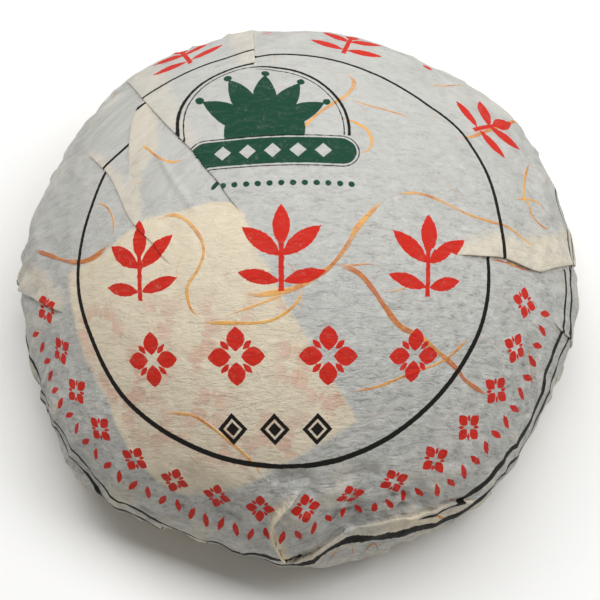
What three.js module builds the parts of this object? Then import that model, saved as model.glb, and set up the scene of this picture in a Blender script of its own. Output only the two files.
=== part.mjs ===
// A pu-erh tuocha in its paper wrapper.
//
// A tuocha is a nest-shaped cake of pressed tea: a full dome above, a rounded rim, and a bowl-like
// hollow underneath. One sheet of thin paper covers the dome. It is pleated round the rim, gathered
// into the hollow, and its edge is twisted there into a short tail. The pack is shut, so cake and
// paper are one solid with one skin: a lathe of the half section, then the relief of the paper.
//
// Millimetres. +Z is up, the cake stands on z = 0, and the origin is under the middle of its outline.
// Azimuths are in degrees, counter-clockwise seen from above, with -90 at the front. "Arc" is the
// distance along the skin from the top of the dome, outwards and then down round the rim.

import * as THREE from 'three';

// ---------------------------------------------------------------- driving dimensions

const EQUATOR_RADIUS = 40.5; // the widest part of the cake
const EQUATOR_HEIGHT = 9.5; // where that is, above the table
const DOME_RISE = 33.5; // top of the dome above the equator
const DOME_POWER = 1.85; // of the superellipse: 2 would be an ellipse, 1 a cone

const STANDING_RADIUS_OUTER = 34.5; // the flattened ring that the cake stands on
const STANDING_RADIUS_INNER = 31.5;
const LIP_RADIUS = 2; // rounding from the standing ring into the hollow
const HOLLOW_DEPTH = 16; // ceiling of the hollow above the table
const HOLLOW_END = 75; // degrees of the hollow's quarter ellipse before the tail begins

const TAIL_RADIUS = 4.6; // the twisted end of the paper
const TAIL_TIP_HEIGHT = 9.6; // above the table
const TAIL_TIP_RADIUS = 2.9;
const TWIST = 75; // degrees that the gathered pleats turn on their way to the tail

const PLEAT_COUNT = 24;
const PLEAT_DEPTH = 1.1; // height of a pleat's free edge where the pleats are deepest
const PLEAT_UNEVENNESS = 0.27; // share of a pleat's width by which its edge wanders
const PLEATS_BEGIN = 50; // arc on the shoulder where the pleats rise out of the smooth dome
const PLEATS_FULL = 66; // arc under the rim where they reach their full depth

// Columns of the skin across one pleat: the sheet climbs over its neighbour and ends in a free edge.
const PLEAT_COLUMNS = [0, 0.27, 0.54, 0.81, 0.955];

// Rings of the skin on the dome, as angles of its half section from the top to the equator.
const DOME_RINGS = [0, 6, 12.5, 19.5, 27, 35, 43, 51, 58.5, 65, 71, 76, 80.5, 85, 90];

// The outline isn't a true circle. Between these azimuths it swells and flattens smoothly: [azimuth,
// millimetres outwards].
const OUTLINE = [
  [-162, -0.3], [-139, 1.5], [-111, -1.3], [-89, 0.3], [-67, -0.6], [-53, 0.3], [-22, -0.7],
  [-5, 0.7], [12, 0.7], [36, 0.9], [60, -1.0], [92, -0.7], [125, 0.7], [158, -0.1], [175, 0.6],
];

// Folds where one layer of the sheet ends over another, on the dome and at the rim. Each free edge
// runs between two places given as [azimuth, arc], with the upper layer on its left hand.
const FOLDS = [
  { name: 'right fold', from: [-15.8, 21.7], to: [1.5, 53], height: 0.8, reach: 5 },
  { name: 'left back fold', from: [131, 47], to: [160, 13], height: 0.7, reach: 4 },
  { name: 'left rim fold', from: [-183, 56], to: [-164, 40], height: 0.7, reach: 5 },
  { name: 'front rim fold', from: [-86, 55.5], to: [-55, 53.5], height: 0.9, reach: 4 },
];

const PAPER_COLOUR = 0xc6c1b6;
const PAPER_ROUGHNESS = 0.85;

// ---------------------------------------------------------------- small helpers

const radians = THREE.MathUtils.degToRad;
const smoothstep = THREE.MathUtils.smoothstep;
const lerp = THREE.MathUtils.lerp;

// ---------------------------------------------------------------- the half section

// Each stretch of the half section gives its points from the top of the dome inwards to the tail.

function domeSection() {
  return DOME_RINGS.map((angle) => new THREE.Vector2(
    EQUATOR_RADIUS * Math.sin(radians(angle)) ** (2 / DOME_POWER),
    EQUATOR_HEIGHT + DOME_RISE * Math.cos(radians(angle)) ** (2 / DOME_POWER),
  ));
}

function quarterEllipse(centre, halfWidth, halfHeight, fromAngle, toAngle, steps) {
  const points = [];
  for (let step = 1; step <= steps; step += 1) {
    const angle = radians(lerp(fromAngle, toAngle, step / steps));
    points.push(new THREE.Vector2(
      centre.x + halfWidth * Math.cos(angle),
      centre.y + halfHeight * Math.sin(angle),
    ));
  }
  return points;
}

function halfSection() {
  const rimDepth = EQUATOR_RADIUS - STANDING_RADIUS_OUTER;
  const hollowRadius = STANDING_RADIUS_INNER - LIP_RADIUS;
  const hollowRise = HOLLOW_DEPTH - LIP_RADIUS;
  const tailMiddle = (HOLLOW_DEPTH + TAIL_TIP_HEIGHT) / 2;
  return [
    ...domeSection(),
    ...quarterEllipse(
      new THREE.Vector2(STANDING_RADIUS_OUTER, EQUATOR_HEIGHT), rimDepth, EQUATOR_HEIGHT, 0, -90, 5,
    ),
    new THREE.Vector2(STANDING_RADIUS_INNER, 0),
    ...quarterEllipse(
      new THREE.Vector2(STANDING_RADIUS_INNER, LIP_RADIUS), LIP_RADIUS, LIP_RADIUS, 270, 180, 2,
    ),
    ...quarterEllipse(
      new THREE.Vector2(0, LIP_RADIUS), hollowRadius, hollowRise, 0, HOLLOW_END, 6,
    ),
    new THREE.Vector2(TAIL_RADIUS + 1, tailMiddle + 1.6),
    new THREE.Vector2(TAIL_RADIUS, tailMiddle - 0.4),
    new THREE.Vector2(TAIL_TIP_RADIUS, TAIL_TIP_HEIGHT + 0.3),
    new THREE.Vector2(0, TAIL_TIP_HEIGHT),
  ];
}

// Arc from the top of the dome to every point of the section.
function arcLengths(section) {
  const arcs = [0];
  for (let i = 1; i < section.length; i += 1) {
    arcs.push(arcs[i - 1] + section[i].distanceTo(section[i - 1]));
  }
  return arcs;
}

// Outward normal of the section, square to the line between a point's two neighbours, and straight
// up or down on the axis, where all the columns meet.
function sectionNormals(section) {
  return section.map((point, i) => {
    if (point.x === 0) {
      return new THREE.Vector2(0, i === 0 ? 1 : -1);
    }
    const before = section[Math.max(i - 1, 0)];
    const after = section[Math.min(i + 1, section.length - 1)];
    const along = new THREE.Vector2().subVectors(after, before).normalize();
    return new THREE.Vector2(-along.y, along.x);
  });
}

// ---------------------------------------------------------------- the relief of the paper

// Azimuth, in degrees, where a pleat's free edge lies on the rim. Real pleats aren't evenly laid.
function pleatEdge(pleat) {
  const wander = PLEAT_UNEVENNESS * (Math.sin(2.1 * pleat) + 0.6 * Math.sin(5.3 * pleat + 1));
  return (pleat + wander) * (360 / PLEAT_COUNT) - 90;
}

function columnAzimuth(column) {
  const pleat = Math.floor(column / PLEAT_COLUMNS.length);
  const share = PLEAT_COLUMNS[column % PLEAT_COLUMNS.length];
  const next = pleat + 1 < PLEAT_COUNT ? pleatEdge(pleat + 1) : pleatEdge(0) + 360;
  return lerp(pleatEdge(pleat), next, share);
}

// The pleats are faint on the shoulder, full under the rim and in the hollow, and small at the tail.
function pleatRelief(column, radius, arc) {
  const pleat = Math.floor(column / PLEAT_COLUMNS.length);
  const climb = PLEAT_COLUMNS[column % PLEAT_COLUMNS.length];
  const ownDepth = PLEAT_DEPTH * (1 + 0.35 * Math.sin(3.7 * pleat + 0.5));
  const begun = smoothstep(arc, PLEATS_BEGIN, PLEATS_FULL);
  const spread = radius > 0 ? lerp(0.35, 1, smoothstep(radius, 0, EQUATOR_RADIUS / 2)) : 0;
  return ownDepth * climb * begun * spread;
}

// How far the outline stands out at an azimuth: a cosine ramp from each point of OUTLINE to the next.
function outlineSwell(azimuth) {
  const turn = (azimuth + 900) % 360 - 180;
  for (let i = 0; i < OUTLINE.length; i += 1) {
    const [start, startSwell] = OUTLINE[i];
    const [end, endSwell] = OUTLINE[(i + 1) % OUTLINE.length];
    const span = (end - start + 360) % 360;
    const along = (turn - start + 360) % 360;
    if (along < span) {
      return lerp(startSwell, endSwell, 0.5 - 0.5 * Math.cos(Math.PI * along / span));
    }
  }
  return 0;
}

// The dome unrolled flat: arc and azimuth as polar coordinates.
function unrolled([azimuth, arc]) {
  return new THREE.Vector2(arc * Math.cos(radians(azimuth)), arc * Math.sin(radians(azimuth)));
}

// Height of one fold at a place: full at its free edge, and fading over its reach into the upper
// layer, past the ends of the edge, and at once on the other side.
function foldRelief(fold, place) {
  const start = unrolled(fold.from);
  const edge = unrolled(fold.to).sub(start);
  const length = edge.length();
  edge.normalize();
  const offset = unrolled(place).sub(start);
  const along = offset.dot(edge);
  const inside = edge.cross(offset);
  const pastEnd = Math.max(0, -along, along - length);
  const side = inside >= 0 ? Math.exp(-inside / fold.reach) : Math.max(0, 1 + inside / 0.8);
  return fold.height * side * Math.exp(-((pastEnd / fold.reach) ** 2));
}

// ---------------------------------------------------------------- the wrapped cake

function wrappedTuochaGeometry() {
  const section = halfSection();
  const arcs = arcLengths(section);
  const normals = sectionNormals(section);
  const columns = PLEAT_COUNT * PLEAT_COLUMNS.length;
  // A lathe faces outwards when its section runs upwards, so the last ring comes first in it.
  const geometry = new THREE.LatheGeometry(section.toReversed(), columns);
  const skin = geometry.attributes.position;

  for (let vertex = 0; vertex < skin.count; vertex += 1) {
    const ring = section.length - 1 - vertex % section.length;
    const column = Math.floor(vertex / section.length) % columns;
    const point = section[ring];
    const normal = normals[ring];
    const arc = arcs[ring];
    const onDome = ring < DOME_RINGS.length;
    const standing = point.y === 0;

    let azimuth = columnAzimuth(column);
    let relief = pleatRelief(column, point.x, arc);
    if (onDome) {
      FOLDS.forEach((fold) => {
        relief += foldRelief(fold, [azimuth, arc]);
      });
    }
    const swellHere = onDome
      ? smoothstep(point.x, EQUATOR_RADIUS * 0.8, EQUATOR_RADIUS * 0.96)
      : smoothstep(point.x, STANDING_RADIUS_INNER, EQUATOR_RADIUS - 1);
    const swell = swellHere * outlineSwell(azimuth);
    if (!onDome) {
      azimuth += TWIST * (1 - smoothstep(point.x, 0, STANDING_RADIUS_INNER));
    }

    const radius = point.x + swell + (standing ? 0 : relief * normal.x);
    const height = standing ? 0 : point.y + relief * normal.y;
    skin.setXYZ(
      vertex,
      radius * Math.cos(radians(azimuth)),
      radius * Math.sin(radians(azimuth)),
      Math.max(0, height), // the pleats are pressed flat where the cake stands on them
    );
  }

  geometry.computeBoundingBox();
  const middle = geometry.boundingBox.getCenter(new THREE.Vector3());
  geometry.translate(-middle.x, -middle.y, 0);
  geometry.computeVertexNormals();
  return geometry;
}

const wrapper = new THREE.Mesh(
  wrappedTuochaGeometry(),
  new THREE.MeshStandardMaterial({ color: PAPER_COLOUR, roughness: PAPER_ROUGHNESS, metalness: 0 }),
);
wrapper.name = 'wrapped_tuocha';

const tuocha = new THREE.Group();
tuocha.add(wrapper);

export default tuocha;
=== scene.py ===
# %% [markdown]
# # A paper-wrapped tuocha
#
# The object is a nest-shaped cake of pressed tea in its shut paper wrapper: a dome about 83 mm
# across, pleated round the rim, with the ends of the sheet twisted together in the hollow
# underneath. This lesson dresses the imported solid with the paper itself: a finely folded skin, the
# turned-over edges of the folds, the long golden fibres and the print.

# %% Load the frame
import itertools
import math

import bpy
import numpy as np
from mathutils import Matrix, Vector


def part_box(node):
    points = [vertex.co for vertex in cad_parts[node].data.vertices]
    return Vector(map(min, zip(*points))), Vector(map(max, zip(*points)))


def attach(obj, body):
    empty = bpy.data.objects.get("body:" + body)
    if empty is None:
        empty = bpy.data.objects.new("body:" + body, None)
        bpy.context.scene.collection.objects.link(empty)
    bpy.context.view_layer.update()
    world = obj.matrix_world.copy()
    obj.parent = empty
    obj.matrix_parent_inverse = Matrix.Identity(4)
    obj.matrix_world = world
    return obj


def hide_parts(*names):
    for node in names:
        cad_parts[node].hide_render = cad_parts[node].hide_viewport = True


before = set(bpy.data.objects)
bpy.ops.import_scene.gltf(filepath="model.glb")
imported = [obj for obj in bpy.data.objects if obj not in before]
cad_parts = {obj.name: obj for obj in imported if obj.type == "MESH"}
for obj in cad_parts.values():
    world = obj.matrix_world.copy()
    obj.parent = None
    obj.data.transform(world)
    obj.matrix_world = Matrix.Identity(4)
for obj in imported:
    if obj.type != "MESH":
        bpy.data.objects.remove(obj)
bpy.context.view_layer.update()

MM = 0.001  # every length below is in millimetres until a mesh is made


def placed(name, data):
    """A new object for a mesh, a light or the camera, in the scene."""
    thing = bpy.data.objects.new(name, data)
    bpy.context.scene.collection.objects.link(thing)
    return thing


low, high = (np.array(corner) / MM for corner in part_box("wrapped_tuocha"))
print("solid, mm:", low.round(1), high.round(1))

# %% [markdown]
# ## The half section
#
# Every point of the wrapper is found by two numbers: its azimuth round the cake, and its arc, which
# is the distance along the skin from the top of the dome, out over the rim, under it and up into the
# hollow. A grid on those two numbers covers the whole shut pack with one closed skin, which a box
# that is sculpted or subdivided wouldn't do so evenly. The sizes are those of the solid.

# %% Half section of the cake, as radius and height against arc
EQUATOR_RADIUS = 40.5
EQUATOR_HEIGHT = 9.5
DOME_RISE = float(high[2]) - EQUATOR_HEIGHT
DOME_POWER = 1.85
STANDING_OUTER, STANDING_INNER = 34.5, 31.5
LIP_RADIUS = 2.0
HOLLOW_DEPTH = 16.0
HOLLOW_END = 75.0
TAIL_POINTS = [(5.6, 14.4), (4.6, 12.4), (4.0, 11.0), (2.9, 9.9), (1.5, 9.65), (0.0, 9.6)]
DOME_STEPS, RIM_STEPS, LIP_STEPS, HOLLOW_STEPS = 400, 60, 20, 80
SLOPE_REACH = 0.4  # mm of arc either side, over which the slope is taken
AXIS = np.array([-0.12, 0.52])  # the dome's axis, beside the middle of the uneven outline


def ellipse_points(centre, half_width, half_height, start, end, count):
    """Points of an ellipse from one angle to another, in degrees."""
    angle = np.radians(np.linspace(start, end, count))
    return np.column_stack([
        centre[0] + half_width * np.cos(angle),
        centre[1] + half_height * np.sin(angle),
    ])


def half_section():
    """Radius and height from the top to the tail: a superellipse, a rim, a foot and a hollow."""
    angle = np.radians(np.linspace(0, 90, DOME_STEPS))
    dome = np.column_stack([
        EQUATOR_RADIUS * np.sin(angle) ** (2 / DOME_POWER),
        EQUATOR_HEIGHT + DOME_RISE * np.cos(angle).clip(0) ** (2 / DOME_POWER),
    ])
    rim_middle, rim_width = (STANDING_OUTER, EQUATOR_HEIGHT), EQUATOR_RADIUS - STANDING_OUTER
    rim = ellipse_points(rim_middle, rim_width, EQUATOR_HEIGHT, 0, -90, RIM_STEPS)
    lip = ellipse_points((STANDING_INNER, LIP_RADIUS), LIP_RADIUS, LIP_RADIUS, 270, 180, LIP_STEPS)
    hollow_width, hollow_height = STANDING_INNER - LIP_RADIUS, HOLLOW_DEPTH - LIP_RADIUS
    hollow = ellipse_points((0, LIP_RADIUS), hollow_width, hollow_height, 0, HOLLOW_END, HOLLOW_STEPS)
    return np.vstack([dome, rim[1:], lip, hollow[1:], TAIL_POINTS])


section = half_section()
steps = np.hypot(*np.diff(section, axis=0).T)
section_arc = np.concatenate([[0], np.cumsum(steps)])
ARC_END = section_arc[-1]
ARC_EQUATOR = section_arc[DOME_STEPS - 1]
ARC_STANDING = section_arc[[DOME_STEPS + RIM_STEPS - 2, DOME_STEPS + RIM_STEPS - 1]]
print(f"arc to the equator {ARC_EQUATOR:.1f} mm, to the tip of the tail {ARC_END:.1f} mm")


def section_at(arc):
    """Radius, height and outward normal of the half section at each arc."""
    before, after = (arc - SLOPE_REACH).clip(0), (arc + SLOPE_REACH).clip(None, ARC_END)
    radius, inner, outer = (np.interp(place, section_arc, section[:, 0]) for place in (arc, before, after))
    height, upper, lower = (np.interp(place, section_arc, section[:, 1]) for place in (arc, before, after))
    along, rise = outer - inner, lower - upper
    length = np.hypot(along, rise) + 1e-9
    outwards, upwards = -rise / length, along / length
    on_axis = radius < 1e-6
    outwards = np.where(on_axis, 0, outwards)
    upwards = np.where(on_axis, np.where(arc < 1, 1, -1), upwards)
    return radius, height, outwards, upwards


# %% [markdown]
# ## The camera, and places read from the photograph
#
# The photograph looks down on the dome from the front at about 71 degrees. The camera comes first,
# because the folds and the fibres are named by the pixels where the photograph shows them: a line
# of sight through a pixel is followed until it meets the dome. So each of them lies on the cake
# from every side, and moves with it if the camera or the dome changes.

# %% Camera
PHOTO_SIDE = 600
EYE_ELEVATION = 71.5
EYE_DISTANCE = 263.0
PIXELS_PER_MM = 6.76
MIDDLE_PIXEL = (299.0, 290.4)  # where the middle of the equator shows
SENSOR = 36.0
SIGHT_DEPTHS = (EYE_DISTANCE - 60, EYE_DISTANCE + 45, 2600)  # where a line of sight is tried, and how often

middle = np.array([AXIS[0], AXIS[1], EQUATOR_HEIGHT])
tilt = math.radians(EYE_ELEVATION)
eye = middle + EYE_DISTANCE * np.array([0, -math.cos(tilt), math.sin(tilt)])
picture_up = np.array([0, math.sin(tilt), math.cos(tilt)])
aim = middle + np.array([1, 0, 0]) * (PHOTO_SIDE / 2 - MIDDLE_PIXEL[0]) / PIXELS_PER_MM
aim = aim - picture_up * (PHOTO_SIDE / 2 - MIDDLE_PIXEL[1]) / PIXELS_PER_MM

camera_data = bpy.data.cameras.new("photo_camera")
camera_data.sensor_width = SENSOR
camera_data.lens = PIXELS_PER_MM * EYE_DISTANCE * SENSOR / PHOTO_SIDE
camera_data.clip_start, camera_data.clip_end = 0.01, 10
camera = placed("photo_camera", camera_data)
camera.location = Vector(eye) * MM
camera.rotation_euler = Vector(aim - eye).to_track_quat("-Z", "Y").to_euler()
bpy.context.scene.camera = camera
print(f"lens {camera_data.lens:.1f} mm, eye at {eye.round(1)}")


# %% From pixels to the dome
def flat(azimuth, arc):
    """A place on the skin laid flat: arc and azimuth in degrees, as polar coordinates."""
    azimuth = np.radians(azimuth)
    return np.stack([arc * np.cos(azimuth), arc * np.sin(azimuth)], axis=-1)


def on_dome(pixels):
    """Where lines of sight through pixels first meet the dome, in the skin's flat coordinates."""
    pixels = np.atleast_2d(np.asarray(pixels, float))
    forwards = (aim - eye) / np.linalg.norm(aim - eye)
    right = np.cross(forwards, [0, 0, 1])
    right /= np.linalg.norm(right)
    upwards = np.cross(right, forwards)
    across = (pixels - PHOTO_SIDE / 2) * SENSOR / PHOTO_SIDE / camera_data.lens
    sight = forwards + across[:, :1] * right - across[:, 1:] * upwards
    depth = np.linspace(*SIGHT_DEPTHS)
    places = eye + depth[None, :, None] * sight[:, None, :]
    radius = np.hypot(places[..., 0] - AXIS[0], places[..., 1] - AXIS[1])
    surface = EQUATOR_HEIGHT + DOME_RISE * (
        1 - (radius / EQUATOR_RADIUS).clip(0, 1) ** DOME_POWER
    ) ** (1 / DOME_POWER)
    outside = np.maximum(places[..., 2] - surface, radius - EQUATOR_RADIUS)
    met = outside < 0
    first = np.where(met.any(axis=1), met.argmax(axis=1), outside.argmin(axis=1))
    rows = np.arange(len(pixels))
    place, radius = places[rows, first], radius[rows, first].clip(0, EQUATOR_RADIUS)
    arc = np.interp(radius, section[:DOME_STEPS, 0], section_arc[:DOME_STEPS])
    return flat(np.degrees(np.arctan2(place[:, 1] - AXIS[1], place[:, 0] - AXIS[0])), arc)


print("top of the dome under pixel (299, 196):", on_dome([(299, 196)]).round(2))


# %% [markdown]
# ## The relief of the paper
#
# The skin isn't smooth. The outline swells and flattens between the corners where thick pleats lie.
# Below the shoulder the sheet is laid in 24 uneven pleats, each climbing over its neighbour and
# ending in a free edge, and they turn with the twist of the tail. Over the dome the paper has only
# shallow crumples and a few named creases. All of it is worked out as one height above the smooth
# section, because that keeps the skin a single closed surface that can't cross itself.

# %% Smooth ramps and seeded noise
def ramp(value, start, end):
    """A smooth climb from 0 at start to 1 at end: 3t^2 - 2t^3."""
    t = ((value - start) / (end - start)).clip(0, 1)
    return t * t * (3 - 2 * t)


RANDOM_COUNT = 8192
SCATTERING = (73856093, 19349663, 83492791)  # large primes


def shuffled(corner):
    """Which random number belongs to each lattice corner: its three counts x the primes, joined by xor."""
    x, y, z = np.moveaxis(corner * SCATTERING, -1, 0)
    return (x ^ y ^ z) % RANDOM_COUNT


def noise(places, size, seed):
    """Smooth random values from -1 to 1: a lattice of random numbers, blended between corners."""
    lattice = np.random.default_rng(seed).uniform(-1, 1, RANDOM_COUNT)
    cell = places / size
    corner_low = np.floor(cell).astype(np.int64)
    share = ramp(cell - corner_low, 0, 1)
    total = np.zeros(places.shape[:-1])
    for corner in itertools.product((0, 1), repeat=3):
        weight = np.where(corner, share, 1 - share).prod(axis=-1)
        total += weight * lattice[shuffled(corner_low + corner)]
    return total


def nearest_seed(places, size, seed):
    """Squared distance to the nearest of seeds strewn one to a cell: bowls that meet in sharp ridges."""
    draw = np.random.default_rng(seed).uniform(0, 1, (RANDOM_COUNT, 3))
    cell = places / size
    corner = np.floor(cell).astype(np.int64)
    best = np.full(places.shape[:-1], np.inf)
    for step in itertools.product((-1, 0, 1), repeat=3):
        near = corner + step
        best = np.minimum(best, ((near + draw[shuffled(near)] - cell) ** 2).sum(axis=-1))
    return best


def ridges(places, size, seed):
    """Sharp ridges where a noise passes its middle: 0.5 - 2 x its distance from there, down to -0.5."""
    return 0.5 - 2 * np.abs(noise(places, size, seed)).clip(0, 0.5)


samples = np.random.default_rng(1).uniform(0, 50, (500, 3))
print(f"noise up to {noise(samples, 4, 1).max():.2f}, bowls up to {nearest_seed(samples, 4, 1).max():.2f}")

# %% Outline and pleats
OUTLINE = [
    (-162, -0.3), (-139, 1.5), (-111, -1.3), (-89, 0.3), (-67, -0.6), (-53, 0.3), (-22, -0.7),
    (-5, 0.4), (12, 0.4), (36, 0.9), (60, -1.0), (92, -0.7),
    (99.4, -0.45), (100.4, 0.05), (106.2, 0.3), (107.4, -0.2), (125, 0.7), (158, -0.1), (175, 0.6),
]
PLEAT_COUNT = 24
PLEAT_DEPTH = 1.1
PLEAT_UNEVENNESS = 0.27
PLEATS_BEGIN, PLEATS_FULL = 52.0, 66.5
FRONT_PLEATS, FRONT_PLEATS_SPREAD, FRONT_PLEATS_LOWER = -78.0, 42.0, 4.0  # degrees, and mm of arc
TWIST = 75.0


def outline_swell(azimuth):
    """Millimetres that the outline stands out: a cosine ramp from each corner to the next."""
    corners = np.array(OUTLINE + [(OUTLINE[0][0] + 360, OUTLINE[0][1])], float)
    turn = (azimuth - corners[0, 0]) % 360 + corners[0, 0]
    place = np.searchsorted(corners[:, 0], turn, side="right").clip(1, len(corners) - 1)
    start, end = corners[place - 1], corners[place]
    along = (turn - start[..., 0]) / (end[..., 0] - start[..., 0])
    return start[..., 1] + (end[..., 1] - start[..., 1]) * (0.5 - 0.5 * np.cos(np.pi * along))


pleat_numbers = np.arange(PLEAT_COUNT)
pleat_wander = np.sin(2.1 * pleat_numbers) + 0.6 * np.sin(5.3 * pleat_numbers + 1)
pleat_edges = (pleat_numbers + PLEAT_UNEVENNESS * pleat_wander) * 360 / PLEAT_COUNT - 90
pleat_edges = np.append(pleat_edges, pleat_edges[0] + 360)
pleat_depths = PLEAT_DEPTH * (1 + 0.35 * np.sin(3.7 * pleat_numbers + 0.5))
off_front = np.abs((pleat_edges[:-1] - FRONT_PLEATS + 180) % 360 - 180)
pleat_begins = PLEATS_BEGIN + 3.0 * np.abs(np.sin(2.9 * pleat_numbers))
pleat_begins += FRONT_PLEATS_LOWER * (off_front < FRONT_PLEATS_SPREAD)


def pleat_place(azimuth):
    """Which pleat an azimuth lies in, and its share of the way to that pleat's free edge."""
    turn = (azimuth - pleat_edges[0]) % 360 + pleat_edges[0]
    number = (np.searchsorted(pleat_edges, turn, side="right") - 1).clip(0, PLEAT_COUNT - 1)
    share = (turn - pleat_edges[number]) / (pleat_edges[number + 1] - pleat_edges[number])
    return number, share


pleat_widths = np.diff(pleat_edges)
print(f"pleats {pleat_widths.min():.0f} to {pleat_widths.max():.0f} degrees wide")

# %% [markdown]
# The creases are lines where the sheet bends without a free edge. Each is a short list of pixels,
# with a height and a half width in millimetres, and a negative height is a valley. Their profile
# is a narrow bump across the line, the same all along it.

# %% Creases on the dome
FRONT_PLEAT_LINE = [(304, 488), (290, 502), (279, 515), (273, 527), (277, 543), (288, 560)]
CREASES = {
    "light ridge on the left": ([(159, 155), (170, 175), (181, 192), (190, 204), (199, 216)], 0.28, 0.4),
    "upright crease at the right": ([(528, 336), (533, 357), (538, 383), (535, 410), (532, 418)], -0.35, 0.5),
    "nick in the right border": ([(558, 318), (562, 325), (569, 334)], -0.2, 0.5),
    "small pleat in the front": (FRONT_PLEAT_LINE, 0.6, 0.5),
    "line beside it": ([(288, 497), (274, 515), (267, 532), (262, 554)], -0.45, 0.5),
    "front wrinkle": ([(340, 487), (352, 498), (372, 503), (392, 500)], 0.22, 0.7),
    "front dent": ([(400, 492), (409, 503), (402, 513), (396, 522)], -0.6, 0.7),
    "ridge beside the front dent": ([(390, 484), (400, 495), (395, 508), (385, 518)], 0.4, 0.6),
    "valley over the front fold": ([(338, 531), (352, 526), (380, 519), (410, 511), (432, 506)], -0.5, 0.7),
    "ridge over that valley": ([(330, 524), (356, 516), (384, 511)], 0.3, 0.8),
    "dark dent on the left": ([(276, 486), (292, 478), (306, 476)], -0.5, 1.4),
    "dark dent on the right": ([(346, 478), (362, 472), (380, 476)], -0.45, 1.3),
    "front dent, right": ([(418, 480), (430, 486), (442, 500)], 0.25, 0.7),
    "dent over the pleat": ([(322, 482), (345, 476), (368, 478)], -0.25, 1.2),
    "left rim wrinkle": ([(75, 500), (100, 487), (128, 500)], 0.2, 0.9),
    "left rim dent": ([(46, 440), (58, 470), (84, 505)], -0.2, 1.1),
    "inner sheet, left edge": (
        [(68, 274), (78, 330), (87, 355), (99, 394), (120, 423), (133, 450), (155, 482), (180, 503)],
        0.1, 0.6,
    ),
    "inner sheet, right edge": ([(257, 249), (291, 312), (301, 330), (326, 368), (357, 421)], 0.1, 0.5),
    "left front fold": ([(113, 490), (117, 520), (118, 540)], 0.3, 0.7),
    "wrinkle one": ([(250, 472), (270, 486), (296, 490)], 0.3, 0.8),
    "wrinkle two": ([(296, 520), (318, 512), (340, 518)], 0.25, 0.8),
    "wrinkle three": ([(305, 474), (314, 488), (318, 504)], -0.3, 0.8),
    "wrinkle four": ([(356, 512), (380, 516), (398, 506)], -0.25, 0.9),
    "wrinkle five": ([(436, 468), (452, 476), (470, 474)], 0.25, 0.8),
    "wrinkle six": ([(214, 500), (232, 514), (238, 534)], -0.22, 0.8),
}


def to_line(places, line):
    """Distance in the flat skin from each place to a line of joined stretches, and its left side."""
    best = np.full(places.shape[:-1], np.inf)
    left = np.zeros(places.shape[:-1])
    along_best = np.zeros(places.shape[:-1])
    passed = 0.0
    for start, end in zip(line[:-1], line[1:]):
        stretch = end - start
        length = np.hypot(*stretch)
        offset = places - start
        share = ((offset @ stretch) / length ** 2).clip(0, 1)
        gap = np.hypot(*np.moveaxis(offset - share[..., None] * stretch, -1, 0))
        side = np.sign(stretch[0] * offset[..., 1] - stretch[1] * offset[..., 0])
        nearer = gap < best
        best = np.where(nearer, gap, best)
        left = np.where(nearer, side, left)
        along_best = np.where(nearer, passed + share * length, along_best)
        passed += length
    return best, left, along_best / passed


def crease_relief(places):
    """Sum of the creases' bumps: height x exp(-(distance / half width)^2)."""
    relief = np.zeros(places.shape[:-1])
    for pixels, height, half_width in CREASES.values():
        gap, _, along = to_line(places, on_dome(pixels))
        fade = ramp(along, 0, 0.15) * ramp(1 - along, 0, 0.15)
        relief += height * np.exp(-((gap / half_width) ** 2)) * (0.25 + 0.75 * fade)
    return relief


# %% The skin as a function of azimuth and arc
def smooth_place(azimuth, arc, lift=0.0):
    """A place on the unpleated cake, lifted along its normal."""
    radius, height, outwards, upwards = section_at(arc)
    turn = np.radians(azimuth)
    reach = radius + lift * outwards
    return np.stack([reach * np.cos(turn), reach * np.sin(turn), height + lift * upwards], axis=-1)


CRUSHED = [  # pixel at the middle, radius in mm, how much stronger the crumples are there
    ((280, 486), 5.0, 3.2), ((320, 494), 5.0, 3.2), ((368, 486), 6.0, 3.0), ((404, 504), 5.0, 3.0),
    ((444, 480), 5.0, 2.6), ((334, 512), 6.0, 1.2), ((110, 496), 5.0, 1.8), ((150, 512), 6.0, 1.2),
    ((232, 530), 6.0, 1.2), ((44, 296), 5.0, 2.0), ((535, 375), 5.0, 1.2), ((152, 122), 5.0, 0.8),
]
CRUSHED_SPOTS = [(on_dome(pixel)[0], radius, strength) for pixel, radius, strength in CRUSHED]
DRAWN_SPACING, DRAWN_LENGTH = 3.0, 5.5  # mm between the drawn folds, and how many times longer they are


def crushed(azimuth, arc):
    """1 plus a round bump at each crushed place: strength x exp(-(distance / radius)^2)."""
    places = flat(azimuth, arc)
    times = np.ones(places.shape[:-1])
    for spot, radius, strength in CRUSHED_SPOTS:
        gap = np.hypot(*np.moveaxis(places - spot, -1, 0))
        times += strength * np.exp(-((gap / radius) ** 2))
    return times


def drawn_folds(azimuth, arc):
    """Long ridges down over the rim, where the sheet is gathered: ridges stretched along the arc."""
    turn = np.radians(azimuth)
    unrolled = np.stack([
        EQUATOR_RADIUS * np.cos(turn), EQUATOR_RADIUS * np.sin(turn), arc / DRAWN_LENGTH,
    ], axis=-1)
    gathered = ramp(arc, 36, 54) * ramp(section_at(arc)[0], 2, 22)
    return gathered * ridges(unrolled, DRAWN_SPACING, 16)


FACETS = [  # mm between two sets of bowls, their seeds, mm high on the dome, and how much more at the rim
    (8.0, 11, 7.0, 12, 0.05, 0.36), (3.6, 13, 3.2, 14, 0.02, 0.15),
]


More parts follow.
